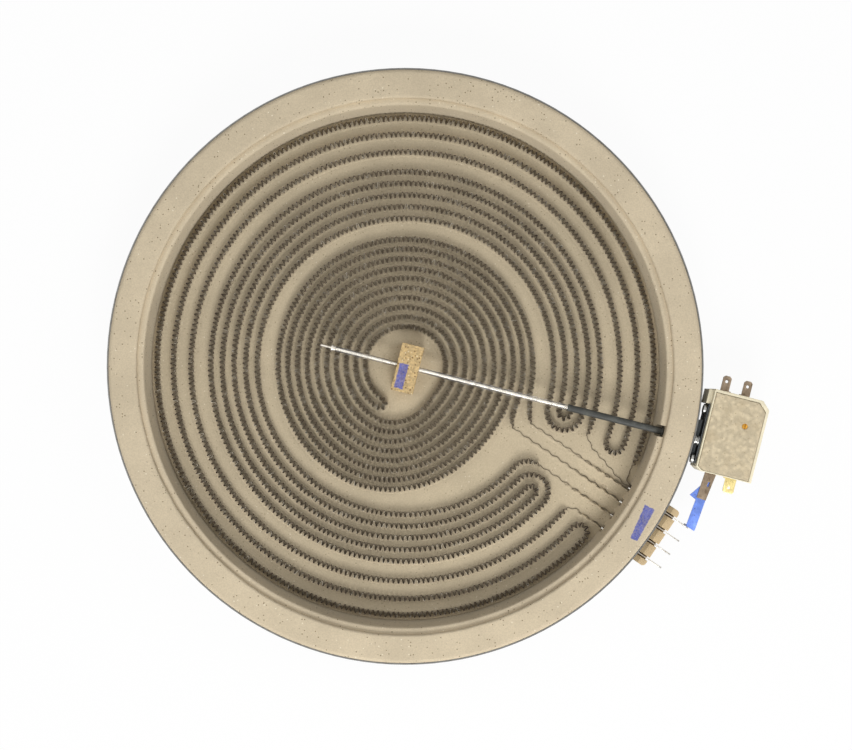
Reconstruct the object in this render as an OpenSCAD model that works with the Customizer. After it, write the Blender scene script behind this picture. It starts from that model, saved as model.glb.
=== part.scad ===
// Radiant surface element: a round heater that sits under a glass cooktop.
// A shallow steel dish holds a pressed insulation base with three corrugated ribbon
// heaters standing in grooves, an insulating ring round them, a rod thermostat
// across the middle and a ceramic block with four blades at the edge.
// The origin is on the underside of the dish, on its axis. +Z is up, to the glass.

/* [Dish] */
// Outer diameter of the steel dish
dish_od = 330; // [300:1:360]
// Height of the dish edge over its underside
dish_h = 30; // [28:0.5:36]
// Thickness of the sheet steel
dish_t = 0.8; // [0.5:0.1:1.2]
// Radius of the bend between the floor and the wall, outside
dish_bend = 3; // [2:0.5:5]
// Diameter of the raised stiffening ring in the dish floor
bead_d = 210; // [160:5:240]
// Height of that stiffening ring
bead_h = 1.2; // [0.8:0.1:2]

/* [Insulation] */
// Depth of the insulation base
base_h = 12.2; // [11:0.2:14]
// Depth of the grooves that the ribbons stand in
groove_d = 2; // [1:0.25:3]
// Gap between a ribbon's teeth and the groove walls
groove_gap = 0.3; // [0.2:0.05:0.5]
// Height of the insulating ring over the dish edge
ring_proud = 3; // [2:0.5:5]
// Width of the flat top of the insulating ring
ring_top_w = 12; // [9:0.5:14]
// Width of the rounded outer shoulder of the ring
ring_shoulder = 2.4; // [1.5:0.1:3]
// Width of the inner ledge, one step below the top
ledge_w = 3.5; // [3:0.25:5]
// Drop from the ring top to the inner ledge
ledge_drop = 2.6; // [1.5:0.1:4]
// Radial play between the insulation and the dish wall
fit_gap = 0.3; // [0.2:0.05:0.6]

/* [Heater ribbons] */
// Height of the ribbon strip, standing on edge
ribbon_h = 6; // [5:0.25:7]
// Half thickness of the strip, across the track
ribbon_half_t = 0.3; // [0.2:0.05:0.4]
// Half height of the corrugation, across the track
tooth = 1.35; // [1:0.05:1.6]
// Length of one corrugation along the track
tooth_pitch = 7; // [5:0.25:10]
// Distance from the inner wall of the ring to the outermost turn
wall_step = 5; // [4.5:0.1:8]
// Distance between the first two turns of the outer heater
outer_step = 9.1; // [8:0.1:10]
// Distance between the last two turns of the outer heater
outer_last_step = 9.9; // [8:0.1:10]
// Distance from the outer heater to the middle heater
outer_gap = 11.1; // [8:0.1:14]
// Distance between the turns of the middle heater
middle_step = 6.55; // [6:0.05:6.6]
// Distance from the middle heater to the inner heater
middle_gap = 11.7; // [8:0.1:14]
// Distance between the turns of the inner heater
inner_step = 5.45; // [5.2:0.05:5.5]

/* [Terminal block] */
// Direction of the terminal block, seen from the dish axis
block_angle = -34; // [-36:1:-32]
// Width of the ceramic block, along the dish edge
block_w = 36.6; // [34:0.2:40]
// How far the block stands out from the dish edge
block_out = 8; // [7:0.25:10]
// Distance between the terminal blades
blade_step = 9; // [8.5:0.1:9.5]
// Width of a terminal blade, which stands on edge
blade_w = 6.3; // [4.8:0.1:6.3]
// Thickness of a terminal blade
blade_t = 0.8; // [0.5:0.1:1]
// How far the blades stand out past the block
blade_out = 9.3; // [8:0.1:14]

/* [Thermostat] */
// Direction of the thermostat rod, seen from the dish axis
rod_angle = -14.2; // [-15:0.1:-13]
// Outer diameter of the quartz tube
tube_od = 3; // [2.6:0.1:3.4]
// Inner diameter of the quartz tube
tube_id = 1.9; // [1.6:0.1:2]
// Diameter of the metal rod inside the tube
rod_d = 1.4; // [1.2:0.1:1.5]
// Outer diameter of the dark sleeve at the wall
sleeve_od = 3.8; // [3.6:0.1:4.2]
// Width of the centre block, along the rod
centre_w = 12.6; // [10:0.2:16]
// Length of the centre block, across the rod
centre_l = 27; // [22:0.5:34]
// Depth of the rod axis below the ring top
rod_depth = 9; // [8:0.25:10]
// Length of the thermostat head, across the rod
head_l = 46; // [44:0.5:50]
// Width of the thermostat head, along the rod
head_w = 31.6; // [30:0.2:34]
// Height of the thermostat head
head_h = 21; // [20:0.5:23]
// Wall of the ceramic housing
head_wall = 1.8; // [1.5:0.1:2.2]
// Gap between the dish edge and the head
head_gap = 4.4; // [4:0.1:6]
// Width of a power tab
power_tab_w = 6.3; // [4.8:0.1:6.3]
// Width of a signal tab
signal_tab_w = 4.8; // [4:0.1:6.3]
// Thickness of the tabs and the link strap
tab_t = 0.8; // [0.5:0.1:1]
// Width of the link strap
strap_w = 5.6; // [4:0.1:6]

/* [Hidden] */
$fn = 96;

// Dish and insulation
dish_r = dish_od / 2;
insulation_r = dish_r - dish_t - fit_gap;
base_top = dish_t + base_h;
ring_top = dish_h + ring_proud;
ring_flat_r = insulation_r - ring_shoulder;
lip_r = ring_flat_r - ring_top_w;
lip = 1.4;
ledge_r = lip_r - lip;
wall_r = ledge_r - ledge_w;
wall_draft = 2;
ledge_z = ring_top - ledge_drop;
bead_half = 4;
bead_top_half = 2.4;

// Ribbons
ribbon_z = base_top - groove_d;
groove_half = tooth + ribbon_half_t + groove_gap;
outer_r = wall_r - wall_step;
outer_turns = [outer_r, outer_r - outer_step, outer_r - outer_step - outer_last_step];
middle_r = outer_turns[2] - outer_gap;
middle_turns = [for (i = [0:4]) middle_r - i * middle_step];
inner_r = middle_turns[4] - middle_gap;
arm_b_r = inner_r - inner_step;
lead_wave = 0.5;
lead_wave_pitch = 10;

// Terminal block, in its own frame: x along the blades, y along the dish edge
blade_y = [for (i = [0:3]) (1.5 - i) * blade_step];
blade_in = wall_r - 3;
blade_tip = dish_r + block_out + blade_out;
blade_shoulder_h = 0.6;
slot_w = 2.2;
block_bottom = 7.5;
block_top = 21;
block_mid = 3.6;
block_dip = 4;
tenon_in = 6;
tenon_w = 4 * blade_step - 3;
tenon_bottom = ribbon_z - 1.4;
tenon_top = ribbon_z + blade_w + 1.6;
window_gap = 0.4;
lead_end = blade_in + 4.5;

// Thermostat, in its own frame: x along the rod, y across it
rod_z = ring_top - rod_depth;
tube_start = -40;
tip_start = -48.6;
centre_at = [1.5, -0.9];
centre_over = 4.4;
sleeve_start = 93;
sleeve_bore = tube_od + 0.3;
washer_d = 5.8;
washer_t = 0.8;
washer_x = ledge_r - 1.2;
rod_bore = sleeve_od + 0.6;
head_x = dish_r + head_gap;
head_y = -16;
head_top = ring_top - 2;
head_bottom = head_top - head_h;
head_floor = 2.4;
cover_t = 3;
cover_gap = 0.2;
cover_band = 1.7;
chamfer = 4.5;
small_chamfer = 2.6;
tab_z = rod_z - 4.4;
signal_x = [head_x + 6.8, head_x + 18.8];
signal_len = 9;
power_x = [head_x + 10.6, head_x + 22.4];
power_len = 8.7;
link_tab_len = 15.4;
ear_out = 4;
tab_inside = 7;
tab_fit = 0.1;
tab_hole = 1.7;
lug_out = 2.6;
lug_from = 21.4;
plate_t = 1;
plate_y = [-12.5, 21];
plate_z = [head_bottom + 1, rod_z + 4];
foot_y = [-10, 11.5];
web_z = rod_z - 4.6;
rivet_d = 2.4;
rivet_y = [-6.5, 8];
rivet_z = base_top + 3.4;
head_rivet_y = [-10.3, 17.8];
rivet_head_d = 5;
rivet_head_h = 2.2;
screw_at = [head_x + 20.6, 13.8];
screw_d = 3;
ferrule_x = dish_r + 0.4;
ferrule_l = head_x - plate_t - ferrule_x;
ferrule_d = 6;
nut_l = 2.6;
tube_end = head_x + 0.8;
rod_end = head_x + 8;
lever_t = 3;
lever_top = rod_z + 2.5;
contact_h = 0.8;
spring_t = 0.4;
spring_w = 4;
spring_side = 2;
spring_top = tab_z + tab_t + contact_h + spring_t;

// Turns a point of a frame that lies at angle a into the main frame
function turned(p, a) = [p.x * cos(a) - p.y * sin(a), p.x * sin(a) + p.y * cos(a)];
function polar(r, a) = [r * cos(a), r * sin(a)];
function arc(r, a0, a1, step) = let (n = ceil(abs(a1 - a0) / step))
    [for (i = [0:n]) polar(r, a0 + (a1 - a0) * i / n)];
// Half turn from radius ra to radius rb about the direction a; way is 1 or -1
function half_turn(ra, rb, a, way) = let (h = (ra - rb) / 2)
    [for (t = [18:18:162]) turned([(ra + rb) / 2 + h * cos(t), abs(h) * sin(t) * way], a)];
function in_block(x, y) = turned([x, y], block_angle);
function last(p) = p[len(p) - 1];
function reversed(p) = [for (i = [len(p) - 1:-1:0]) p[i]];
function lengths(p) = [for (i = 0, s = 0; i < len(p);
    s = s + (i + 1 < len(p) ? norm(p[i + 1] - p[i]) : 0), i = i + 1) s];
function unit(v) = v / norm(v);

// The link runs straight from the first power tab to the tip of the first blade
foot_lap = 2.6;
link_root = turned([power_x[0], head_y], rod_angle);
foot_mid = in_block(blade_tip - foot_lap + strap_w / 2, blade_y[0] + (blade_t + tab_t) / 2);
link_dir = unit(foot_mid - link_root);
function on_link(d, side) = link_root + d * link_dir + side * [-link_dir.y, link_dir.x];

// Side places of the leads on the faces of their blades
on_blade = blade_t / 2 + ribbon_half_t;
function lead(k, side, from_x) = [in_block(lead_end, blade_y[k] + side),
    for (x = [blade_in - 1:-0.7 * blade_step:from_x + 0.3 * blade_step]) in_block(x, blade_y[k] + side),
    in_block(from_x, blade_y[k] + side)];

// Direction in which radius r lies that many blade steps past the axis of the block
function past(steps, r) = block_angle + asin(steps * blade_step / r);
// A point of the block frame: x from a radius, y from a blade, in steps of each
function near(r, x, step, k, y) = in_block(r + x * step, blade_y[k] + y * blade_step);

// Outer heater: three turns with a half turn at each end
outer_from = past(2.69, outer_r);
outer_fold = 360 + past(-2.53, outer_r - outer_step / 2);
outer_back = past(3.28, outer_turns[2] + outer_last_step / 2);
outer_to = 360 + past(-1.68, outer_turns[2]);
outer_heater = concat(
    arc(outer_turns[0], outer_from, outer_fold, 8),
    half_turn(outer_turns[0], outer_turns[1], outer_fold, 1),
    arc(outer_turns[1], outer_fold, outer_back, 8),
    half_turn(outer_turns[1], outer_turns[2], outer_back, -1),
    arc(outer_turns[2], outer_back, outer_to, 8));
outer_lead_in = [in_block(lead_end, blade_y[0] + on_blade + 2 * ribbon_half_t),
    in_block(blade_in - ribbon_half_t, blade_y[0] + on_blade + 2.3 * ribbon_half_t),
    near(blade_in, -0.33, blade_step, 0, 0.37), near(blade_in, -0.51, blade_step, 0, 0.78)];
outer_lead_out = lead(3, on_blade, outer_turns[2] + 0.38 * blade_step);

// Middle heater: five turns, folded back on themselves at each end
middle_mean = middle_r - 1.5 * middle_step;
middle_from = past(2.73, middle_r);
middle_fold = 360 + past(-2.11, middle_mean);
middle_back = past(3.14, middle_mean - middle_step);
middle_to = 360 + past(-1.21, middle_turns[4]);
middle_heater = concat(
    arc(middle_turns[0], middle_from, middle_fold, 8),
    half_turn(middle_turns[0], middle_turns[3], middle_fold, 1),
    arc(middle_turns[3], middle_fold, middle_back, 8),
    half_turn(middle_turns[3], middle_turns[2], middle_back, -1),
    arc(middle_turns[2], middle_back, middle_fold, 8),
    half_turn(middle_turns[2], middle_turns[1], middle_fold, 1),
    arc(middle_turns[1], middle_fold, middle_back, 8),
    half_turn(middle_turns[1], middle_turns[4], middle_back, -1),
    arc(middle_turns[4], middle_back, middle_to, 8),
    [near(middle_turns[4], 0.2, middle_step, 2, -0.34), near(middle_turns[4], 0.75, middle_step, 2, -0.03),
        in_block(middle_turns[4] + 1.48 * middle_step, blade_y[2] + on_blade)]);
// Its first lead crosses from the blade to the first turn, in parts of that distance
middle_cross = [[0.24, 0.16], [0.42, 0.37], [0.65, 0.58], [0.88, 0.79], [1.02, 1.04]];
middle_lead_in = concat([in_block(lead_end, blade_y[0] + on_blade),
    in_block(blade_in - 0.33 * blade_step, blade_y[0] + on_blade)],
    [for (p = middle_cross) near(blade_in, p.x, middle_r - blade_in, 0, p.y)]);
middle_lead_out = lead(2, on_blade, middle_r - 0.4 * middle_step);

// Inner heater: two arms side by side, wound inwards and joined at the middle. Each arm
// keeps its radius for most of a turn and then steps in by two tracks.
step_from = 240;
step_to = 325;
centre_gap = 5;
inner_turns = floor((arm_b_r - centre_l / 2 - centre_gap) / (2 * inner_step));
arm_end = 236 + 360 * inner_turns;
function eased(x) = x * x * (3 - 2 * x);
function arm_r(r0, a) = let (turn = floor((a + 360 - step_to) / 360), t = a - 360 * turn)
    r0 - 2 * inner_step * (turn + (t < step_from ? 0 : eased((t - step_from) / (step_to - step_from))));
function arm(r0, a0) = [for (a = [a0:12:arm_end - 4]) polar(arm_r(r0, a), a),
    polar(arm_r(r0, arm_end), arm_end)];
inner_heater = concat(
    [in_block(inner_r + 1.05 * inner_step, blade_y[0] - on_blade),
        near(inner_r, 0.5, inner_step, 0, 0.14), near(inner_r, 0.18, inner_step, 0, 0.46),
        near(inner_r, -0.28, inner_step, 0, 0.82)],
    arm(inner_r, past(2.85, inner_r)),
    half_turn(arm_r(inner_r, arm_end), arm_r(arm_b_r, arm_end), arm_end, 1),
    reversed(arm(arm_b_r, past(1.28, arm_b_r))),
    [near(arm_b_r, 0.23, inner_step, 1, 0.34),
        in_block(arm_b_r + 0.71 * inner_step, blade_y[1] + on_blade)]);
inner_lead_in = lead(0, -on_blade, inner_r + 1.54 * inner_step);
inner_lead_out = lead(1, on_blade, arm_b_r + 1.26 * inner_step);

// Side offsets along a track: gentle waves on the leads and teeth on the heater
function waves(from, to, rest) = [for (s = [from:lead_wave_pitch / 4:to - 1])
    [s, s - from < rest || to - s < 2 ? 0 : lead_wave * sin(360 * (s - from) / lead_wave_pitch)]];
function teeth(from, to) = let (n = 2 * round((to - from) / tooth_pitch))
    [for (i = [1:n - 1]) [from + (to - from) * i / n, i % 2 == 0 ? tooth : -tooth]];
function stations(lead_in, heater, lead_out) = let (a = last(lengths(concat(lead_in, [heater[0]]))),
    b = last(lengths(concat(lead_in, heater))),
    c = last(lengths(concat(lead_in, heater, reversed(lead_out)))))
    concat(waves(0, a, 6), teeth(a, b),
        reversed([for (w = waves(0, c - b, 6)) [c - w.x, w.y]]));
function track(lead_in, heater, lead_out) = concat(lead_in, heater, reversed(lead_out));
function outline(path, stops, half) = let (s = lengths(path),
    xs = [for (i = [0:len(path) - 1]) [s[i], path[i].x]],
    ys = [for (i = [0:len(path) - 1]) [s[i], path[i].y]],
    sides = [for (q = stops) let (p = [lookup(q.x, xs), lookup(q.x, ys)],
        d = unit([lookup(q.x + 0.4, xs) - lookup(q.x - 0.4, xs),
            lookup(q.x + 0.4, ys) - lookup(q.x - 0.4, ys)]), n = [-d.y, d.x])
        [p + n * (q.y + half), p + n * (q.y - half)]])
    concat([for (e = sides) e[0]], reversed([for (e = sides) e[1]]));

module ribbon(lead_in, heater, lead_out) {
    path = track(lead_in, heater, lead_out);
    translate([0, 0, ribbon_z])
        linear_extrude(ribbon_h)
            polygon(outline(path, stations(lead_in, heater, lead_out), ribbon_half_t));
}

module outer_ribbon() {
    color("#4a3f36")
        ribbon(outer_lead_in, outer_heater, outer_lead_out);
}

module middle_ribbon() {
    color("#54483c")
        ribbon(middle_lead_in, middle_heater, middle_lead_out);
}

module inner_ribbon() {
    color("#5c5044")
        ribbon(inner_lead_in, inner_heater, inner_lead_out);
}

module groove(lead_in, heater, lead_out) {
    path = track(lead_in, heater, lead_out);
    polygon(outline(path, [for (s = lengths(path)) [s, 0]], groove_half));
}

// Half section of an open cup: a flat floor, a rounded corner and a straight wall
module cup_section(r, h, bend) {
    square([r - bend, h]);
    translate([0, bend])
        square([r, h - bend]);
    translate([r - bend, bend])
        circle(bend);
}

// Half section of the stiffening ring, raised by bead_h over the height z
module bead_section(z) {
    low = z - dish_t / 2;
    polygon([[bead_d / 2 - bead_half, low], [bead_d / 2 - bead_half, z],
        [bead_d / 2 - bead_top_half, z + bead_h], [bead_d / 2 + bead_top_half, z + bead_h],
        [bead_d / 2 + bead_half, z], [bead_d / 2 + bead_half, low]]);
}

module steel_dish() {
    color("#5a5a58")
        difference() {
            rotate_extrude($fn = 240)
                difference() {
                    cup_section(dish_r, dish_h, dish_bend);
                    translate([-1, dish_t])
                        cup_section(dish_r - dish_t + 1, dish_h, dish_bend - dish_t);
                }
            block_window();
            rotate([0, 0, rod_angle]) {
                rod_hole(rod_bore);
                rivet_holes();
            }
            rotate_extrude($fn = 240)
                bead_section(0);
        }
    color("#5a5a58")
        difference() {
            rotate_extrude($fn = 240)
                bead_section(dish_t);
            rotate_extrude($fn = 240)
                bead_section(0);
        }
}

// Window in the dish wall for the back of the terminal block
module block_window() {
    rotate([0, 0, block_angle])
        translate([dish_r - 6, -tenon_w / 2 - window_gap, tenon_bottom - window_gap])
            cube([12, tenon_w + 2 * window_gap, tenon_top - tenon_bottom + 2 * window_gap]);
}

// Hole along the rod, through the ring and the dish wall
module rod_hole(d) {
    translate([wall_r - 8, 0, rod_z])
        rotate([0, 90, 0])
            cylinder(d = d, h = dish_r - wall_r + 16);
}

module rivet_holes() {
    for (y = rivet_y)
        translate([dish_r - 8, y, rivet_z])
            rotate([0, 90, 0])
                cylinder(d = rivet_d + 0.2, h = 16);
}

module base_insulation() {
    color("#a89a80")
        difference() {
            translate([0, 0, dish_t])
                rotate_extrude($fn = 240)
                    difference() {
                        cup_section(insulation_r, base_h, dish_bend - dish_t + fit_gap);
                        bead_section(0);
                    }
            translate([0, 0, ribbon_z])
                linear_extrude(base_h)
                    groove(outer_lead_in, outer_heater, outer_lead_out);
            translate([0, 0, ribbon_z])
                linear_extrude(base_h)
                    groove(middle_lead_in, middle_heater, middle_lead_out);
            translate([0, 0, ribbon_z])
                linear_extrude(base_h)
                    groove(inner_lead_in, inner_heater, inner_lead_out);
            terminal_recess();
        }
}

// Room for the back of the terminal block and for the blades that run in from it
module terminal_recess() {
    rotate([0, 0, block_angle]) {
        translate([dish_r - tenon_in - 0.3, -tenon_w / 2 - window_gap, tenon_bottom])
            cube([20, tenon_w + 2 * window_gap, tenon_top - tenon_bottom + window_gap]);
        for (y = blade_y)
            translate([wall_r - 12, y - slot_w, ribbon_z])
                cube([30, 2 * slot_w, blade_w + 1]);
    }
}

module ring_insulator() {
    a = [for (t = [0:15:90]) [ring_flat_r + ring_shoulder * sin(t),
        ring_top - ring_shoulder * (1 - cos(t))]];
    b = [for (t = [0:22.5:90]) [lip_r - lip * sin(t), ring_top - lip * (1 - cos(t))]];
    color("#c8b99e")
        difference() {
            rotate_extrude($fn = 240)
                polygon(concat([[wall_r - wall_draft, base_top], [wall_r, ledge_z], [ledge_r, ledge_z]],
                    reversed(b), a, [[insulation_r, base_top]]));
            terminal_recess();
            rotate([0, 0, rod_angle]) {
                rod_hole(rod_bore);
                rivet_pockets();
                rod_notch();
            }
        }
}

// Notch in the ledge where the sleeve passes, open to the top
module rod_notch() {
    half = washer_d / 2 + 0.3;
    translate([wall_r - 8, -half, rod_z])
        cube([washer_x + washer_t + 0.4 - wall_r + 8, 2 * half, ring_top]);
    translate([wall_r - 8, 0, rod_z])
        rotate([0, 90, 0])
            cylinder(r = half, h = washer_x + washer_t + 0.4 - wall_r + 8);
}

// Room in the ring for the closed ends of the bracket rivets
module rivet_pockets() {
    for (y = rivet_y)
        translate([insulation_r - rivet_head_h - 1, y, rivet_z])
            rotate([0, 90, 0])
                cylinder(d = rivet_head_d + 1, h = 20);
}

module centre_block() {
    color("#c8af82")
        rotate([0, 0, rod_angle])
            difference() {
                translate([centre_at.x - centre_w / 2, centre_at.y - centre_l / 2, base_top])
                    cube([centre_w, centre_l, rod_z + centre_over - base_top]);
                translate([centre_at.x - centre_w, 0, rod_z])
                    rotate([0, 90, 0])
                        cylinder(d = tube_od + 0.3, h = 2 * centre_w);
            }
}

module terminal_block() {
    x0 = dish_r - tenon_in;
    x1 = dish_r + block_out;
    bend = dish_r + block_mid;
    round_r = 2.2;
    color("#c0a478")
        rotate([0, 0, block_angle])
            difference() {
                intersection() {
                    translate([0, block_w / 2, 0])
                        rotate([90, 0, 0])
                            linear_extrude(block_w)
                                polygon([[x0, block_bottom], [x1 - 1, block_bottom],
                                    [x1, block_bottom + 1], [x1, block_top - 0.6],
                                    [x1 - 0.6, block_top], [bend, block_top],
                                    [dish_r - 2, block_top - block_dip], [x0, block_top - block_dip]]);
                    linear_extrude(dish_h) {
                        translate([x0, -block_w / 2])
                            square([x1 - round_r - x0, block_w]);
                        translate([x0, -block_w / 2 + round_r])
                            square([x1 - x0, block_w - 2 * round_r]);
                        for (side = [-1, 1])
                            translate([x1 - round_r, side * (block_w / 2 - round_r)])
                                circle(round_r);
                    }
                }
                difference() {
                    cylinder(r = dish_r, h = dish_h, $fn = 240);
                    translate([x0, -tenon_w / 2, tenon_bottom])
                        cube([tenon_in + 2, tenon_w, tenon_top - tenon_bottom]);
                }
                blade_slots();
            }
}

module blade_slots() {
    for (y = blade_y)
        translate([dish_r - tenon_in - 4, y - slot_w / 2, ribbon_z])
            cube([tenon_in + block_out + 8, slot_w, dish_h]);
}

module terminal_blade(k) {
    tip = 1.6;
    color("#b9b4a8")
        rotate([0, 0, block_angle])
            translate([0, blade_y[k] + blade_t / 2, ribbon_z])
                rotate([90, 0, 0])
                    linear_extrude(blade_t)
                        difference() {
                            polygon([[blade_in, 0], [blade_tip - tip, 0], [blade_tip, tip],
                                [blade_tip, blade_w - tip], [blade_tip - tip, blade_w],
                                [dish_r + 1, blade_w], [dish_r + 1, blade_w + blade_shoulder_h],
                                [dish_r - 3, blade_w + blade_shoulder_h], [dish_r - 3, blade_w],
                                [blade_in, blade_w]]);
                            translate([blade_tip - 4, blade_w / 2])
                                circle(d = 1.8);
                        }
}

module terminal_blade_1() {
    terminal_blade(0);
}

module terminal_blade_2() {
    terminal_blade(1);
}

module terminal_blade_3() {
    terminal_blade(2);
}

module terminal_blade_4() {
    terminal_blade(3);
}

module quartz_tube() {
    color("#dcdad2", 0.6)
        along_rod()
            translate([tube_start, 0, 0])
                bored_rod(tube_od, tube_id, tube_end - tube_start);
}

// Puts things that are drawn with x along the rod in their place
module along_rod() {
    rotate([0, 0, rod_angle])
        translate([0, 0, rod_z])
            children();
}

module bored_rod(outer, bore, length) {
    rotate([0, 90, 0])
        difference() {
            cylinder(d = outer, h = length);
            translate([0, 0, -1])
                cylinder(d = bore, h = length + 2);
        }
}

module expansion_rod() {
    color("#b8b0a2")
        along_rod()
            translate([tip_start, 0, 0])
                rotate([0, 90, 0])
                    cylinder(d = rod_d, h = rod_end - tip_start);
}

module rod_tip_nut() {
    color("#cfc8b8")
        along_rod()
            translate([tube_start - nut_l, 0, 0])
                rotate([0, 90, 0])
                    difference() {
                        union() {
                            cylinder(d = tube_od, h = nut_l);
                            cylinder(d = tube_od + 1, h = 1.2);
                        }
                        translate([0, 0, -1])
                            cylinder(d = rod_d + 0.1, h = nut_l + 2);
                    }
}

module rod_sleeve() {
    color("#3c3d3b")
        along_rod()
            translate([sleeve_start, 0, 0])
                bored_rod(sleeve_od, sleeve_bore, ferrule_x - sleeve_start);
}

module sleeve_washer() {
    color("#2f302f")
        along_rod()
            translate([washer_x, 0, 0])
                bored_rod(washer_d, sleeve_od + 0.1, washer_t);
}

// Ribbed ferrule that holds the sleeve and the tube in the bracket
module rod_ferrule() {
    rib = 0.9;
    color("#8f8f8c")
        along_rod()
            translate([ferrule_x, 0, 0])
                rotate([0, 90, 0])
                    difference() {
                        union() {
                            cylinder(d = ferrule_d - 1, h = ferrule_l);
                            for (i = [0:1])
                                translate([0, 0, 0.3 + i * 2 * rib])
                                    cylinder(d = ferrule_d, h = rib);
                        }
                        translate([0, 0, -1])
                            cylinder(d = tube_od + 0.1, h = ferrule_l + 2);
                    }
}

module limiter_bracket() {
    color("#4a4b4a")
        rotate([0, 0, rod_angle])
            difference() {
                union() {
                    intersection() {
                        difference() {
                            cylinder(r = dish_r + plate_t, h = web_z + plate_t, $fn = 240);
                            cylinder(r = dish_r, h = web_z + plate_t, $fn = 240);
                        }
                        translate([dish_r - 4, foot_y[0], plate_z[0]])
                            cube([10, foot_y[1] - foot_y[0], ring_top]);
                    }
                    difference() {
                        translate([dish_r - 2, foot_y[0], web_z])
                            cube([head_x - dish_r + 2, foot_y[1] - foot_y[0], plate_t]);
                        cylinder(r = dish_r, h = ring_top, $fn = 240);
                    }
                    translate([head_x - plate_t, plate_y[0], plate_z[0]])
                        cube([plate_t, plate_y[1] - plate_y[0], plate_z[1] - plate_z[0]]);
                }
                translate([head_x - plate_t - 1, 0, rod_z])
                    rotate([0, 90, 0])
                        cylinder(d = tube_od + 0.6, h = plate_t + 2);
                rivet_holes();
                for (y = head_rivet_y)
                    translate([head_x - plate_t - 1, y, rod_z])
                        rotate([0, 90, 0])
                            cylinder(d = rivet_d, h = plate_t + 2);
            }
}

// A rivet along x: shank from x0 to x1 with a round head at each end that is asked for
module rivet(y, z, x0, x1, head_0, head_1) {
    translate([x0, y, z])
        rotate([0, 90, 0]) {
            cylinder(d = rivet_d, h = x1 - x0);
            translate([0, 0, -head_0])
                cylinder(d = rivet_head_d, h = head_0);
            if (head_1 > 0)
                translate([0, 0, x1 - x0])
                    cylinder(d = rivet_head_d - 0.6, h = head_1);
        }
}

// Two rivets hold the bracket foot to the dish wall
module bracket_rivets() {
    color("#77776f")
        rotate([0, 0, rod_angle])
            for (y = rivet_y)
                rivet(y, rivet_z, dish_r - dish_t - 0.4, dish_r + plate_t + 0.1, 1, 1);
}

// Two rivets hold the ceramic housing to the bracket
module head_rivets() {
    color("#8a8a86")
        rotate([0, 0, rod_angle])
            for (y = head_rivet_y)
                rivet(y, rod_z, head_x - plate_t, head_x + head_wall, rivet_head_h, 0.8);
}

// Outline of the head, moved in from each side: left, bottom, right and top
function head_outline(l, b, r, t) = let (x0 = head_x + l, x1 = head_x + head_w - r,
    y0 = head_y + b, y1 = head_y + head_l - t, k = 0.42)
    [[x0, y0 + 1.8 + k * (l - b)], [x0 + 3 + k * (b - l), y0], [x1, y0],
        [x1, y1 - chamfer + k * (t - r)], [x1 - chamfer + k * (r - t), y1], [x0, y1]];

module limiter_housing() {
    color("#e6dcc4")
        rotate([0, 0, rod_angle]) {
            difference() {
                union() {
                    translate([0, 0, head_bottom])
                        linear_extrude(head_h)
                            polygon(head_outline(0, 0, 0, 0));
                    translate([head_x - lug_out, lug_from, head_bottom])
                        cube([lug_out + 1, head_y + head_l - 0.6 - lug_from, head_h - 4]);
                }
                translate([0, 0, head_bottom + head_floor])
                    linear_extrude(head_h)
                        polygon(head_outline(head_wall, head_wall, head_wall, head_wall));
                translate([0, 0, head_top - cover_t])
                    linear_extrude(cover_t + 1)
                        polygon(head_outline(1 - cover_gap, 0.8 - cover_gap,
                            cover_band - cover_gap, cover_band - cover_gap));
                translate([head_x - 1, 0, rod_z])
                    rotate([0, 90, 0])
                        cylinder(d = tube_od + 0.3, h = head_wall + 2);
                for (y = head_rivet_y)
                    translate([head_x - 1, y, rod_z])
                        rotate([0, 90, 0])
                            cylinder(d = rivet_d + 0.1, h = head_wall + 2);
                for (x = signal_x)
                    tab_slot(x, head_y + head_l - head_wall - 1, signal_tab_w, head_wall + 2);
                for (x = power_x)
                    tab_slot(x, head_y - 1, power_tab_w + 0.3, head_wall + 2);
            }
            for (x = signal_x)
                tab_seat(x, head_y + head_l - head_wall - tab_inside, signal_tab_w);
            for (x = power_x)
                tab_seat(x, head_y + head_wall, power_tab_w);
        }
}

module tab_slot(x, y, w, l) {
    translate([x - w / 2 - tab_fit, y, tab_z])
        cube([w + 2 * tab_fit, l, tab_t + tab_fit]);
}

// Shelf under the inner end of a tab, standing on the floor of the housing
module tab_seat(x, y, w) {
    translate([x - w / 2, y, head_bottom + head_floor])
        cube([w, tab_inside, tab_z - head_bottom - head_floor]);
}

module limiter_cover() {
    color("#cfc0a0")
        rotate([0, 0, rod_angle])
            difference() {
                translate([0, 0, head_top - cover_t])
                    linear_extrude(cover_t + 0.3)
                        polygon(head_outline(1, 0.8, cover_band, cover_band));
                translate([screw_at.x, screw_at.y, head_top - cover_t - 1])
                    cylinder(d = screw_d + 0.2, h = cover_t + 3);
            }
}

// Screw that sets the switching point, with a slot in its head
module adjusting_screw() {
    color("#c8923a")
        rotate([0, 0, rod_angle])
            translate([screw_at.x, screw_at.y, lever_top])
                difference() {
                    cylinder(d = screw_d, h = head_top - lever_top);
                    translate([-0.3, -screw_d, head_top - lever_top - 0.8])
                        cube([0.6, 2 * screw_d, 2]);
                }
}

// A flat tab that leaves the housing on one side: root at y = 0, blade along +y
module tab_outline(w, out, shoulder) {
    tip = 1.1;
    difference() {
        union() {
            polygon([[-w / 2, -head_wall - tab_inside], [w / 2, -head_wall - tab_inside],
                [w / 2, out - tip], [w / 2 - tip, out], [tip - w / 2, out], [-w / 2, out - tip]]);
            translate([shoulder > 0 ? 0 : -w / 2 - 1.2, 0])
                square([w / 2 + 1.2, 0.8]);
        }
        translate([0, out - 3.2])
            circle(d = tab_hole);
    }
}

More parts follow.
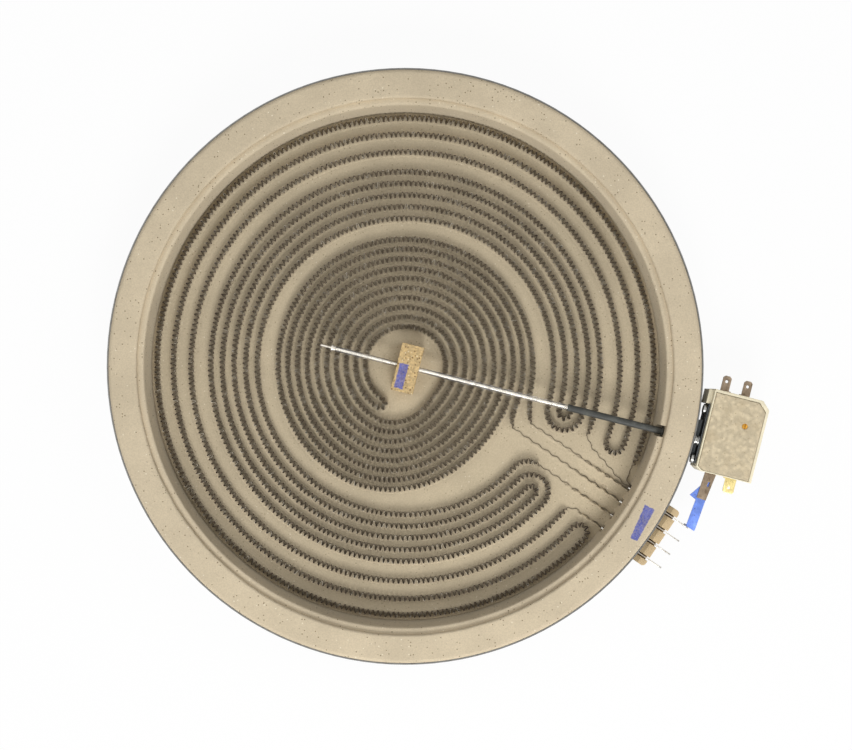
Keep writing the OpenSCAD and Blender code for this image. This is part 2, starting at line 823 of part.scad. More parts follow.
module signal_tab(k) {
    color("#7d6e5f")
        rotate([0, 0, rod_angle])
            translate([signal_x[k], head_y + head_l, tab_z])
                linear_extrude(tab_t)
                    tab_outline(signal_tab_w, signal_len, k == 0 ? 1 : -1);
}

module signal_tab_1() {
    signal_tab(0);
}

module signal_tab_2() {
    signal_tab(1);
}

module power_tab_1() {
    half = power_tab_w / 2;
    color("#8c7f64")
        translate([0, 0, tab_z])
            linear_extrude(tab_t)
                difference() {
                    union() {
                        rotate([0, 0, rod_angle])
                            translate([power_x[0] - half, head_y])
                                square([power_tab_w, head_wall + tab_inside]);
                        polygon([on_link(-0.5, -half), on_link(link_tab_len, -half + 0.5),
                            on_link(link_tab_len, half - 0.5), on_link(-0.5, half)]);
                    }
                    for (d = [5.6:0.8:7.2])
                        translate(on_link(d, 1))
                            circle(d = 1.2);
                }
}

module power_tab_2() {
    color("#e1cd8c")
        rotate([0, 0, rod_angle])
            translate([power_x[1], head_y, tab_z])
                linear_extrude(tab_t)
                    rotate([0, 0, 180])
                        tab_outline(power_tab_w, power_len, 1);
}

// Strap from the first power tab to the first terminal blade, where its end is bent
// down against the face of the blade. A small ear stands out from its side.
module link_strap() {
    half = strap_w / 2 - 0.2;
    foot_x = blade_tip - foot_lap;
    face_y = blade_y[0] + blade_t / 2;
    color("#5f7fd8") {
        translate([0, 0, tab_z - tab_t])
            linear_extrude(tab_t) {
                polygon([on_link(4, -half), on_link(link_tab_len, -half), in_block(foot_x, face_y + tab_t),
                    in_block(foot_x, face_y), in_block(foot_x + strap_w, face_y),
                    in_block(foot_x + strap_w, face_y + tab_t), on_link(link_tab_len, half),
                    on_link(4, half)]);
                polygon([on_link(0.37 * link_tab_len, 0.2 * tab_inside - half),
                    on_link(link_tab_len, -half - ear_out),
                    on_link(1.12 * link_tab_len, 0.2 * tab_inside - half)]);
            }
        rotate([0, 0, block_angle])
            translate([foot_x, face_y, ribbon_z + 0.6])
                cube([strap_w, tab_t, tab_z - ribbon_z - 0.6]);
    }
}

// Ceramic lever: an upright that the rod pushes, a bar over both contact springs and an
// arm under the adjusting screw
module push_lever() {
    low = head_bottom + head_floor;
    inset = head_wall + spring_side + spring_w / 2;
    color("#e8e4d8")
        rotate([0, 0, rod_angle])
            translate([rod_end, 0, 0]) {
                translate([0, -2 * screw_d, low])
                    cube([lever_t, screw_at.y + 3 * screw_d, lever_top - low]);
                translate([0, head_y + inset, spring_top])
                    cube([lever_t, head_l - 2 * inset, lever_top - spring_top]);
                translate([0, screw_at.y - screw_d, spring_top])
                    cube([screw_at.x + screw_d / 2 - rod_end, 2 * screw_d, lever_top - spring_top]);
            }
}

// Contact spring: a strip from tab to tab, on a contact button at each end
module contact_spring(x, y) {
    translate([x[0] - 2, y, tab_z + tab_t + contact_h])
        cube([x[1] - x[0] + 4, spring_w, spring_t]);
    for (end = x)
        translate([end, y + spring_w / 2, tab_z + tab_t])
            cylinder(d = 2.6, h = contact_h + spring_t / 2);
}

module power_contact_spring() {
    color("#c9c2b0")
        rotate([0, 0, rod_angle])
            contact_spring(power_x, head_y + head_wall + spring_side);
}

module signal_contact_spring() {
    color("#c9c2b0")
        rotate([0, 0, rod_angle])
            contact_spring(signal_x, head_y + head_l - head_wall - spring_side - spring_w);
}

steel_dish();
base_insulation();
ring_insulator();
outer_ribbon();
middle_ribbon();
inner_ribbon();
terminal_block();
terminal_blade_1();
terminal_blade_2();
terminal_blade_3();
terminal_blade_4();
link_strap();
centre_block();
quartz_tube();
expansion_rod();
rod_tip_nut();
rod_sleeve();
sleeve_washer();
rod_ferrule();
limiter_bracket();
bracket_rivets();
head_rivets();
limiter_housing();
limiter_cover();
adjusting_screw();
signal_tab_1();
signal_tab_2();
power_tab_1();
power_tab_2();
push_lever();
power_contact_spring();
signal_contact_spring();
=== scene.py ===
"""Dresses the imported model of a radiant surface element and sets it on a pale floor."""

import math
import random

import bpy
import numpy as np
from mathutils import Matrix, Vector


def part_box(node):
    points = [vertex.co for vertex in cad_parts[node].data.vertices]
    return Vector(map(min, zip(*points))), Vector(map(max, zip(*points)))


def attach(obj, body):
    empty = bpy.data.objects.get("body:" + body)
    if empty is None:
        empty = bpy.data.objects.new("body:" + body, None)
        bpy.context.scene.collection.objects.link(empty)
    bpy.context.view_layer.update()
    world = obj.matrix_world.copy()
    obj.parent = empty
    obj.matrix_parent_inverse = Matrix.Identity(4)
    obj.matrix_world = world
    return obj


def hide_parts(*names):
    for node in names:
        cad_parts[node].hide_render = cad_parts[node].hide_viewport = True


bl_info = {
    "name": "Radiant surface element",
    "version": (1, 0, 0),
    "blender": (4, 5, 0),
    "location": "View3D > Sidebar > Radiant element",
    "description": "Builds the visible surfaces of a ribbon heater for a glass cooktop",
    "category": "Object",
}

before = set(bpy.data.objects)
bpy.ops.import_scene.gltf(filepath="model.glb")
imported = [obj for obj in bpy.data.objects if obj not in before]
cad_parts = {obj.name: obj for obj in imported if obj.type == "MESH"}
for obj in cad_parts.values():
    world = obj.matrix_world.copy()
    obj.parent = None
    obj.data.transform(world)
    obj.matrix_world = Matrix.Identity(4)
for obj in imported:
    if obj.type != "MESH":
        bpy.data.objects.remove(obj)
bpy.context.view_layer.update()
MM = 0.001

RING_LOW, RING_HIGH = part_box("ring_insulator")
DISH_LOW, DISH_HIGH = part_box("steel_dish")
BASE_LOW, BASE_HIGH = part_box("base_insulation")
RIBBON_LOW, RIBBON_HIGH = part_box("outer_ribbon")
BLOCK_LOW, BLOCK_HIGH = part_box("centre_block")
TUBE_LOW, TUBE_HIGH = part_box("quartz_tube")

DISH_R = DISH_HIGH.x
RING_R = RING_HIGH.y
RING_TOP = RING_HIGH.z
DISH_TOP = DISH_HIGH.z
FLOOR_Z = BASE_HIGH.z
ROD_Z = (TUBE_LOW.z + TUBE_HIGH.z) / 2
ROD_ANGLE = math.radians(-14.2)
BLOCK_ANGLE = math.radians(-34)


class RibbonSizes(bpy.types.PropertyGroup):
    """Sizes of the corrugated strips and their tracks."""

    pitch: bpy.props.FloatProperty(
        name="Corrugation", description="Length of one corrugation", default=2.75 * MM, unit="LENGTH")
    tooth: bpy.props.FloatProperty(
        name="Half height", description="Half height of the corrugation across the track",
        default=1.55 * MM, unit="LENGTH")
    thickness: bpy.props.FloatProperty(
        name="Strip thickness", description="Thickness of the strip", default=0.2 * MM, unit="LENGTH")
    lead_pitch: bpy.props.FloatProperty(
        name="Lead wave", description="Length of one wave of a lead", default=6.4 * MM, unit="LENGTH")
    lead_rise: bpy.props.FloatProperty(
        name="Lead rise", description="Height of a lead over the insulation", default=0.5 * MM,
        unit="LENGTH")
    outer_r: bpy.props.FloatProperty(
        name="Outer radius", description="Radius of the outermost turn of the outer heater",
        default=139.6 * MM, unit="LENGTH")
    middle_r: bpy.props.FloatProperty(
        name="Middle radius", description="Radius of the outermost turn of the middle heater",
        default=109.5 * MM, unit="LENGTH")
    middle_step: bpy.props.FloatProperty(
        name="Middle step", description="Distance between turns of the middle heater",
        default=6.55 * MM, unit="LENGTH")
    inner_r: bpy.props.FloatProperty(
        name="Inner radius", description="Radius of the outermost turn of the inner heater",
        default=71.6 * MM, unit="LENGTH")
    inner_step: bpy.props.FloatProperty(
        name="Inner step", description="Distance between turns of the inner heater",
        default=5.45 * MM, unit="LENGTH")


def rgb(r, g, b):
    """A linear colour from 0 to 255 screen values."""
    def linear(v):
        v /= 255
        return v / 12.92 if v <= 0.04045 else ((v + 0.055) / 1.055) ** 2.4
    return (linear(r), linear(g), linear(b), 1.0)


def colour_property(name, description, default):
    return bpy.props.FloatVectorProperty(
        name=name, description=description, default=default, size=4, subtype="COLOR", min=0, max=1)


class FinishColours(bpy.types.PropertyGroup):
    """Colours of the visible finishes."""

    ring: colour_property("Ring", "Pressed insulating ring", rgb(206, 191, 164))
    base: colour_property("Base", "Pressed insulation floor", rgb(196, 181, 153))
    ribbon: colour_property("Ribbon", "Oxidised heater strip", rgb(98, 84, 70))
    paint: colour_property("Paint", "Blue paint dab", rgb(78, 90, 168))
    strap: colour_property("Strap", "Blue link strap", rgb(108, 140, 226))
    cover: colour_property("Cover", "Rough ceramic cover", rgb(208, 193, 163))
    housing: colour_property("Housing", "Smooth ceramic housing", rgb(236, 226, 197))
    block: colour_property("Block", "Ceramic terminal block", rgb(205, 181, 141))


# Tracks of the heater strips, in metres, seen from above

def polar(r, degrees):
    a = math.radians(degrees)
    return (r * math.cos(a), r * math.sin(a))


def turned(x, y, angle):
    return (x * math.cos(angle) - y * math.sin(angle), x * math.sin(angle) + y * math.cos(angle))


def arc(r, a0, a1, step=1.0):
    count = math.ceil(abs(a1 - a0) / step)
    return [polar(r, a0 + (a1 - a0) * i / count) for i in range(count + 1)]


def half_turn(ra, rb, degrees, way):
    """A half turn from radius ra to radius rb about one direction; way is 1 or -1."""
    h = (ra - rb) / 2
    return [turned((ra + rb) / 2 + h * math.cos(t), abs(h) * math.sin(t) * way, math.radians(degrees))
            for t in np.radians(range(9, 180, 9))]


def in_block(x, y):
    """A point of the terminal block's frame, given in millimetres."""
    return turned(x * MM, y * MM, BLOCK_ANGLE)


BLADE_Y = [13.5, 4.5, -4.5, -13.5]
ON_BLADE = 0.6
LEAD_END = 146.0


def lead(k, side, from_x):
    return [in_block(LEAD_END, BLADE_Y[k] + side), in_block(from_x, BLADE_Y[k] + side)]


def outer_track(sizes):
    r = [sizes.outer_r, sizes.outer_r - 9.1 * MM, sizes.outer_r - 19 * MM]
    heater = (arc(r[0], -24, 316.3) + half_turn(r[0], r[1], 316.3, 1)
              + arc(r[1], 316.3, -20.4) + half_turn(r[1], r[2], -20.4, -1)
              + arc(r[2], -20.4, 318.8))
    lead_in = [in_block(LEAD_END, BLADE_Y[0] + 1.2), in_block(141.6, BLADE_Y[0] + 1.3),
               in_block(139.4, BLADE_Y[0] + 3.0), in_block(137.6, BLADE_Y[0] + 7)]
    return lead_in, heater, lead(3, ON_BLADE, 124)


def middle_track(sizes):
    r = [sizes.middle_r - i * sizes.middle_step for i in range(5)]
    heater = (arc(r[0], -21, 315) + half_turn(r[0], r[3], 315, 1)
              + arc(r[3], 315, -16.3) + half_turn(r[3], r[2], -16.3, -1)
              + arc(r[2], -16.3, 315) + half_turn(r[2], r[1], 315, 1)
              + arc(r[1], 315, -16.3) + half_turn(r[1], r[4], -16.3, -1)
              + arc(r[4], -16.3, 318.5)
              + [in_block(83.4, -9.2), in_block(84.8, -7.3), in_block(86.6, -5.7),
                 in_block(88.6, -4.7), in_block(91, -4.1), in_block(94, BLADE_Y[2] + ON_BLADE)])
    y = BLADE_Y[0]
    lead_in = [in_block(LEAD_END, y + ON_BLADE), in_block(139, y + ON_BLADE), in_block(134, y + 1.4),
               in_block(128, y + 3.3), in_block(120.7, y + 5.2), in_block(113.2, y + 7.1),
               in_block(109, y + 9.4)]
    return lead_in, heater, lead(2, ON_BLADE, 107)


STEP_FROM, STEP_TO, ARM_END = 240, 325, 1676


def arm_radius(r0, a, step):
    """Each arm keeps its radius for most of a turn and then steps in by two tracks."""
    turn = math.floor((a + 360 - STEP_TO) / 360)
    t = max(0.0, (a - 360 * turn - STEP_FROM) / (STEP_TO - STEP_FROM))
    return r0 - 2 * step * (turn + t * t * (3 - 2 * t))


def arm(r0, a0, step):
    angles = list(range(a0, ARM_END, 2)) + [ARM_END]
    return [polar(arm_radius(r0, a, step), a) for a in angles]


def inner_track(sizes):
    step = sizes.inner_step
    r_a, r_b = sizes.inner_r, sizes.inner_r - step
    y = BLADE_Y[0] - ON_BLADE
    heater = ([in_block(77.3, y), in_block(75.6, 13.6), in_block(74.2, 14.9), in_block(72.6, 17.2),
               in_block(70.6, 20.4)]
              + arm(r_a, -13, step)
              + half_turn(arm_radius(r_a, ARM_END, step), arm_radius(r_b, ARM_END, step), ARM_END, 1)
              + arm(r_b, -24, step)[::-1]
              + [in_block(66.4, 8.6), in_block(68, 6.4), in_block(70, BLADE_Y[1] + ON_BLADE)])
    return lead(0, -ON_BLADE, 80), heater, lead(1, ON_BLADE, 73)


class Track:
    """A line seen from above, with its place and side direction at any length along it."""

    def __init__(self, points):
        self.points = np.array(points)
        steps = np.linalg.norm(np.diff(self.points, axis=0), axis=1)
        self.at = np.concatenate([[0], np.cumsum(steps)])
        self.length = self.at[-1]

    def place(self, s):
        return np.stack([np.interp(s, self.at, self.points[:, k]) for k in (0, 1)], axis=-1)

    def side(self, s, reach=0.8 * MM):
        d = self.place(np.minimum(s + reach, self.length)) - self.place(np.maximum(s - reach, 0))
        d /= np.linalg.norm(d, axis=-1, keepdims=True)
        return np.stack([-d[..., 1], d[..., 0]], axis=-1)


def tooth_wave(count, per_tooth, seed):
    """Offsets of a corrugated strip: length along, place across, both in teeth, slightly uneven."""
    dice = random.Random(seed)
    along, across = [], []
    start = 0.0
    for _ in range(count):
        width = 1 + dice.uniform(-0.1, 0.1)
        height = 1 + dice.uniform(-0.14, 0.1)
        for k in range(per_tooth):
            t = k / per_tooth
            along.append(start + width * t)
            across.append(height * (math.sin(2 * math.pi * t) + 0.1 * math.sin(6 * math.pi * t)))
        start += width
    along = np.array(along) / start
    return along, np.array(across)


# Small helpers for modelling by operator

def deselect():
    if bpy.context.object and bpy.context.object.mode != "OBJECT":
        bpy.ops.object.mode_set(mode="OBJECT")
    bpy.ops.object.select_all(action="DESELECT")


def activate(obj):
    deselect()
    obj.select_set(True)
    bpy.context.view_layer.objects.active = obj
    return obj


def modifier(obj, kind, **settings):
    """Adds a modifier, sets it and applies it."""
    activate(obj)
    bpy.ops.object.modifier_add(type=kind)
    mod = obj.modifiers[-1]
    for key, value in settings.items():
        setattr(mod, key, value)
    bpy.ops.object.modifier_apply(modifier=mod.name)
    return obj


def edit(obj, *steps):
    """Runs edit mode operators on everything that is selected."""
    activate(obj)
    bpy.ops.object.mode_set(mode="EDIT")
    bpy.ops.mesh.select_all(action="SELECT")
    for operator, settings in steps:
        operator(**settings)
    bpy.ops.object.mode_set(mode="OBJECT")
    return obj


def done(obj, name, material, slot, *nodes):
    """Names a finished piece, sets its place to the origin and fixes it to the part."""
    activate(obj)
    bpy.ops.object.transform_apply(location=True, rotation=True, scale=True)
    obj.name = name
    obj.data.name = name
    obj.data.materials.clear()
    obj.data.materials.append(material)
    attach(obj, "root")
    if nodes:
        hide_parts(*nodes)
    return obj


def from_points(name, verts, edges=(), faces=()):
    mesh = bpy.data.meshes.new(name)
    mesh.from_pydata([tuple(v) for v in verts], list(edges), list(faces))
    obj = bpy.data.objects.new(name, mesh)
    bpy.context.scene.collection.objects.link(obj)
    return obj


def outline(name, points):
    """A closed outline: a circle primitive whose points are moved to the given places."""
    deselect()
    bpy.ops.mesh.primitive_circle_add(vertices=len(points), radius=1)
    obj = bpy.context.object
    obj.name = name
    for vertex, place in zip(obj.data.vertices, points):
        vertex.co = place
    return obj


def lathe(name, section, steps=360):
    """Spins a closed section, given as (radius, height) points, round the z axis."""
    obj = outline(name, [(r, 0, z) for r, z in section])
    edit(obj,
         (bpy.ops.mesh.spin, dict(steps=steps, angle=2 * math.pi, center=(0, 0, 0), axis=(0, 0, 1))),
         (bpy.ops.mesh.select_all, dict(action="SELECT")),
         (bpy.ops.mesh.remove_doubles, dict(threshold=0.00001)),
         (bpy.ops.mesh.normals_make_consistent, dict(inside=False)))
    return obj


def smooth(obj, degrees=35):
    activate(obj)
    bpy.ops.object.shade_smooth_by_angle(angle=math.radians(degrees))
    return obj


def dressed_copy(node, bevel, segments=2, angle=30):
    """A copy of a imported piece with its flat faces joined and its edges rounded."""
    activate(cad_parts[node])
    bpy.ops.object.duplicate()
    obj = bpy.context.object
    clear_marks(obj)
    edit(obj,
         (bpy.ops.mesh.remove_doubles, dict(threshold=0.00001)),
         (bpy.ops.mesh.dissolve_limited, dict(angle_limit=math.radians(2))))
    modifier(obj, "BEVEL", width=bevel, segments=segments, limit_method="ANGLE",
             angle_limit=math.radians(angle), harden_normals=False)
    return smooth(obj)


# Materials: a wrapped socket takes part in sums, and one method makes every other node

class Value:
    """An output socket that can be used in Python expressions."""

    def __init__(self, tree, socket):
        self.tree = tree
        self.socket = socket

    def math(self, operation, a, b):
        node = self.tree.nodes.new("ShaderNodeMath")
        node.operation = operation
        for socket, value in zip(node.inputs, (a, b)):
            put(self.tree, socket, value)
        return Value(self.tree, node.outputs[0])

    def __add__(self, other):
        return self.math("ADD", self, other)

    def __radd__(self, other):
        return self.math("ADD", other, self)

    def __sub__(self, other):
        return self.math("SUBTRACT", self, other)

    def __rsub__(self, other):
        return self.math("SUBTRACT", other, self)

    def __mul__(self, other):
        return self.math("MULTIPLY", self, other)

    def __rmul__(self, other):
        return self.math("MULTIPLY", other, self)

    def __truediv__(self, other):
        return self.math("DIVIDE", self, other)

    def __abs__(self):
        return self.math("ABSOLUTE", self, 0)


def put(tree, socket, value):
    if isinstance(value, Value):
        tree.links.new(value.socket, socket)
    elif socket.type == "VALUE" and hasattr(value, "__len__"):
        socket.default_value = value[0]
    else:
        socket.default_value = value


class Finish:
    """A material under construction, with a Principled shader at its end."""

    def __init__(self, name, **constants):
        self.material = bpy.data.materials.new(name)
        self.material.use_nodes = True
        self.tree = self.material.node_tree
        self.shader = next(n for n in self.tree.nodes if n.type == "BSDF_PRINCIPLED")
        for key, value in constants.items():
            self.shader.inputs[key.replace("_", " ")].default_value = value

    def node(self, kind, settings=None, inputs=None, out=0):
        """Makes a node. Its settings are set first, and then its sockets get values or links."""
        node = self.tree.nodes.new("ShaderNode" + kind)
        for key, value in (settings or {}).items():
            if key == "stops":
                ramp = node.color_ramp.elements
                while len(ramp) < len(value):
                    ramp.new(0.5)
                for stop, (position, colour) in zip(ramp, value):
                    stop.position = position
                    stop.color = colour if hasattr(colour, "__len__") else (colour,) * 3 + (1,)
            else:
                setattr(node, key, value)
        for key, value in (inputs or {}).items():
            put(self.tree, node.inputs[key], value)
        return Value(self.tree, node.outputs[out])

    def place(self):
        return self.node("TexCoord", out=3)

    def axes(self, vector):
        return [self.node("SeparateXYZ", inputs={0: vector}, out=k) for k in range(3)]

    def local(self, at, degrees):
        """The axes of a frame that stands at a place and is turned round z."""
        return self.axes(self.node(
            "Mapping", dict(vector_type="TEXTURE"),
            {"Vector": self.place(), "Location": at, "Rotation": (0, 0, math.radians(degrees))}))

    def noise(self, size, detail=3.0, roughness=0.6, stretch=(1, 1, 1)):
        """Noise with features of about the given size in metres, around 0.5."""
        vector = self.node("Mapping", None, {"Vector": self.place(), "Scale": stretch})
        return self.node("TexNoise", None, {
            "Vector": vector, "Scale": 1 / size, "Detail": detail, "Roughness": roughness})

    def cells(self, size, feature="F1", out=0):
        return self.node("TexVoronoi", dict(feature=feature),
                         {"Vector": self.place(), "Scale": 1 / size}, out)

    def step(self, value, low, high, a=0.0, b=1.0):
        """Goes smoothly from a to b while the value goes from low to high."""
        return self.node("MapRange", dict(interpolation_type="SMOOTHSTEP"), {
            "Value": value, "From Min": low, "From Max": high, "To Min": a, "To Max": b})

    def specks(self, size, share, reach=0.3):
        """Small round specks in a share of the cells of the given size."""
        pick = self.axes(self.cells(size, out=1))[0]
        return self.step(self.cells(size), reach, reach * 0.5) * self.step(
            pick, share, share * 0.98)

    def mix(self, factor, a, b, blend="MIX"):
        return self.node("Mix", dict(data_type="RGBA", blend_type=blend),
                         {0: factor, 6: a, 7: b}, 2)

    def shade(self, colour, factor):
        """A colour made lighter or darker by a factor."""
        grey = self.node("CombineColor", None, {0: factor, 1: factor, 2: factor})
        return self.mix(1.0, colour, grey, "MULTIPLY")

    def bump(self, height, distance, strength=1.0, normal=None):
        inputs = {"Height": height, "Distance": distance, "Strength": strength}
        if normal is not None:
            inputs["Normal"] = normal
        return self.node("Bump", None, inputs)

    def finish(self, **sockets):
        for key, value in sockets.items():
            put(self.tree, self.shader.inputs[key.replace("_", " ")], value)
        return self.material


def paint_mask(f, at, degrees, half_l, half_w, taper):
    """A brushed dab of paint with ragged edges."""
    x, y, _ = f.local(at, degrees)
    ragged = (f.noise(2.2 * MM) - 0.5) * (1.6 * MM) + (f.noise(0.7 * MM) - 0.5) * (0.7 * MM)
    end = half_l - abs(x) + ragged
    side = half_w + x * taper - abs(y) + ragged * 0.6
    return f.step(end, 0, 0.35 * MM) * f.step(side, 0, 0.3 * MM)


def painted(f, colour, mask, paint):
    """Lays thin blue paint over a colour: it wears through on the high grains."""
    thin = f.step(f.noise(0.8 * MM, 4), 0.62, 0.3, 0.72, 1.0)
    blue = f.shade(paint, f.step(f.noise(2.5 * MM, 4, stretch=(1, 0.4, 1)), 0.3, 0.7, 0.8, 1.25))
    return f.mix(mask * thin, colour, blue)


def insulation(name, colour, grain, dab=None, paint=None):
    """Pressed fibre insulation: matt, mottled and grainy, with dark and pale specks."""
    f = Finish(name, Roughness=0.95, Specular_IOR_Level=0.18)
    cloud = f.noise(38 * MM, 4)
    fine = f.noise(0.8 * MM, 4)
    shade = f.step(cloud, 0.3, 0.7, 0.93, 1.05) * f.step(fine, 0.25, 0.75, 0.9, 1.08)
    skin = f.shade(colour, shade)
    skin = f.mix(f.step(f.noise(16 * MM, 3), 0.4, 0.75, 0.0, 0.35), skin,
                 f.shade(colour, 0.86))
    skin = f.mix(f.specks(1.5 * MM, 0.16) * grain, skin, rgb(120, 104, 80))
    skin = f.mix(f.specks(2.1 * MM, 0.12, 0.22) * grain, skin, rgb(232, 222, 200))
    skin = f.mix(f.specks(7 * MM, 0.1, 0.06), skin, rgb(62, 52, 42))
    if dab:
        mask = paint_mask(f, *dab)
        skin = painted(f, skin, mask, paint)
    fibres = f.noise(2.4 * MM, 3, 0.5)
    coarse = f.bump(fibres, 0.35 * MM, 0.5)
    fine_bump = f.bump(fine + f.cells(0.9 * MM) * 0.4, 0.12 * MM, 0.7 * max(grain, 0.5), coarse)
    return f.finish(Base_Color=skin, Normal=fine_bump)


def heater_strip(colour):
    """Oxidised alloy strip: brown, darkened towards the floor by painted shade, and brightened on its
    top edge by worn metal and a painted highlight.
    """
    f = Finish("Heater strip", Roughness=0.5, Metallic=0.55)
    z = f.axes(f.place())[2]
    top = f.step(z, RIBBON_HIGH.z - 0.5 * MM, RIBBON_HIGH.z)
    # partly worn metal, partly a painted highlight: pale patches along the top edge where light catches
    # it
    bare_and_highlight = top * f.step(f.noise(3.5 * MM, 2), 0.52, 0.68)
    body = f.shade(colour, f.step(f.noise(5 * MM, 4), 0.25, 0.75, 0.6, 1.25))
    # painted shade: the strip darkens towards the floor, as the narrow pockets between its teeth lie in
    # shade
    body = f.mix(f.step(z, FLOOR_Z, RIBBON_HIGH.z, 0.6, 0.0), body, rgb(46, 38, 32))
    body = f.mix(bare_and_highlight, body, rgb(190, 180, 162))
    rough = f.step(f.noise(1.2 * MM, 4), 0.2, 0.8, 0.42, 0.68) - bare_and_highlight * 0.15
    return f.finish(Base_Color=body, Roughness=rough,
                    Normal=f.bump(f.noise(0.4 * MM, 3), 0.03 * MM, 0.6))


def metal(name, colour, rough, grain=0.5, stain=None, stretch=(1, 1, 1), metallic=1.0):
    """Sheet or turned metal with fine scratches, worn spots and faint stains."""
    f = Finish(name, Metallic=metallic)
    streak = f.noise(0.5 * MM, 4, 0.7, stretch)
    patch = f.noise(4.5 * MM, 4)
    skin = f.shade(colour, f.step(streak, 0.2, 0.8, 0.88, 1.1) * f.step(patch, 0.3, 0.7, 0.9, 1.06))
    if stain:
        skin = f.mix(f.step(f.noise(3 * MM, 5), 0.52, 0.72, 0.0, 0.7), skin, stain)
    roughness = f.step(streak, 0.2, 0.8, rough - 0.08, rough + 0.12) + (patch - 0.5) * 0.15
    return f.finish(Base_Color=skin, Roughness=roughness,
                    Normal=f.bump(streak, 0.03 * MM, grain))


def ceramic(name, colour, rough, grain, speck=0.5, size=0.6):
    """Pressed ceramic: dense and slightly glossy, or open and sandy with more grain."""
    f = Finish(name, Specular_IOR_Level=0.35)
    fine = f.noise(size * MM, 4)
    cloud = f.noise(9 * MM, 4)
    skin = f.shade(colour, f.step(cloud, 0.3, 0.7, 0.92, 1.05) * f.step(fine, 0.25, 0.75, 0.93, 1.06))
    skin = f.mix(f.specks(1.1 * MM, 0.14) * speck, skin, rgb(128, 106, 74))
    skin = f.mix(f.specks(1.7 * MM, 0.1, 0.2) * speck, skin, rgb(246, 240, 224))
    roughness = f.step(fine, 0.3, 0.7, rough - 0.06, rough + 0.08)
    return f.finish(Base_Color=skin, Roughness=roughness,
                    Normal=f.bump(fine + f.noise(2.4 * MM, 2) * 0.8, 0.12 * MM, grain))


def rough_cover(colour):
    """Coarse cast ceramic: hammered surface, with painted shade in its hollows and painted light on its
    raised tops.
    """
    f = Finish("Rough cover", Specular_IOR_Level=0.3, Roughness=0.72)
    hollows = f.cells(2.6 * MM, "SMOOTH_F1")
    fine = f.noise(0.7 * MM, 4)
    # painted shade and light: the same cells that dent the surface darken its hollows and lighten its
    # raised tops
    skin = f.shade(colour, f.step(hollows, 0.15, 0.6, 1.07, 0.84) * f.step(fine, 0.3, 0.7, 0.94, 1.05))
    skin = f.mix(f.specks(1.2 * MM, 0.14) * 0.6, skin, rgb(136, 112, 78))
    skin = f.mix(f.step(f.noise(12 * MM, 3), 0.45, 0.75, 0, 0.35), skin, rgb(188, 168, 132))
    low = f.bump(1 - hollows, 0.5 * MM, 0.7)
    return f.finish(Base_Color=skin, Normal=f.bump(fine, 0.12 * MM, 0.6, low))


def porous_block(colour, dab, paint):
    """Pressed mica granules: golden, with painted shade in its pits and pale specks painted as glints
    on its flakes.
    """
    f = Finish("Porous block", Specular_IOR_Level=0.4)
    grains = f.cells(1.1 * MM, out=1)
    tone = f.axes(grains)[0]
    skin = f.shade(colour, f.step(tone, 0.0, 1.0, 0.78, 1.16))
    # painted shade: dark specks at the centres of the same cells that make the pits in the bump below
    skin = f.mix(f.specks(1.3 * MM, 0.3, 0.45), skin, rgb(112, 84, 48))
    # painted glints: pale specks that stand in for light catching the mica flakes
    skin = f.mix(f.specks(1.6 * MM, 0.2, 0.35), skin, rgb(240, 224, 186))
    skin = f.mix(f.step(f.noise(6 * MM, 3), 0.45, 0.7, 0, 0.3), skin, rgb(176, 146, 98))
    mask = paint_mask(f, *dab)
    skin = painted(f, skin, mask, paint)
    pits = f.cells(1.3 * MM)
    rough = f.step(tone, 0, 1, 0.5, 0.95)
    return f.finish(Base_Color=skin, Roughness=rough,
                    Normal=f.bump(pits + f.noise(0.6 * MM, 3) * 0.6, 0.35 * MM, 0.8))


def coated_strap(colour):
    """Blue coating on the strap: glossy and scratched to a paler blue."""
    f = Finish("Blue strap", Metallic=0.25, Coat_Weight=0.35, Coat_Roughness=0.2)
    streak = f.noise(0.7 * MM, 4, 0.7, (1, 0.25, 1))
    skin = f.shade(colour, f.step(f.noise(3.5 * MM, 3), 0.3, 0.7, 0.78, 1.15))
    skin = f.mix(f.step(streak, 0.6, 0.74, 0, 0.55), skin, rgb(176, 196, 242))
    skin = f.mix(f.specks(1.6 * MM, 0.2), skin, rgb(70, 84, 150))
    return f.finish(Base_Color=skin, Roughness=f.step(streak, 0.3, 0.7, 0.3, 0.48),
                    Normal=f.bump(f.noise(1.5 * MM, 3), 0.06 * MM, 0.5))


def quartz():
    """Clear fused quartz with faint drawn lines and dust."""
    f = Finish("Quartz", Transmission_Weight=0.94, IOR=1.46)
    dust = f.step(f.noise(1.4 * MM, 4), 0.56, 0.74)
    rough = 0.04 + dust * 0.2
    return f.finish(Base_Color=f.mix(dust * 0.25, (0.93, 0.93, 0.92, 1), rgb(206, 200, 188)),
                    Roughness=rough, Normal=f.bump(f.noise(1.1 * MM, 2), 0.03 * MM, 0.4))


def braided_sleeve():
    """Dark ceramic sleeve with fine rings and pale greenish patches that are a painted sheen."""
    f = Finish("Dark sleeve", Specular_IOR_Level=0.4)
    along = f.local((0, 0, 0), -14.2)[0]
    rings = f.node("Math", dict(operation="SINE"), {0: along * (2 * math.pi / (0.9 * MM))})
    # painted sheen: pale greenish patches stand in for light on the dark sleeve, and they also vary its
    # roughness
    sheen_patches = f.step(f.noise(4 * MM, 4), 0.45, 0.75)
    skin = f.mix(sheen_patches * 0.5, rgb(62, 63, 60), rgb(112, 114, 108))
    skin = f.shade(skin, f.step(f.noise(0.7 * MM, 3), 0.3, 0.7, 0.85, 1.12))
    return f.finish(Base_Color=skin, Roughness=f.step(sheen_patches, 0, 1, 0.55, 0.8),
                    Normal=f.bump(rings * 0.15 + f.noise(0.6 * MM, 3), 0.06 * MM, 0.5))


# Pieces

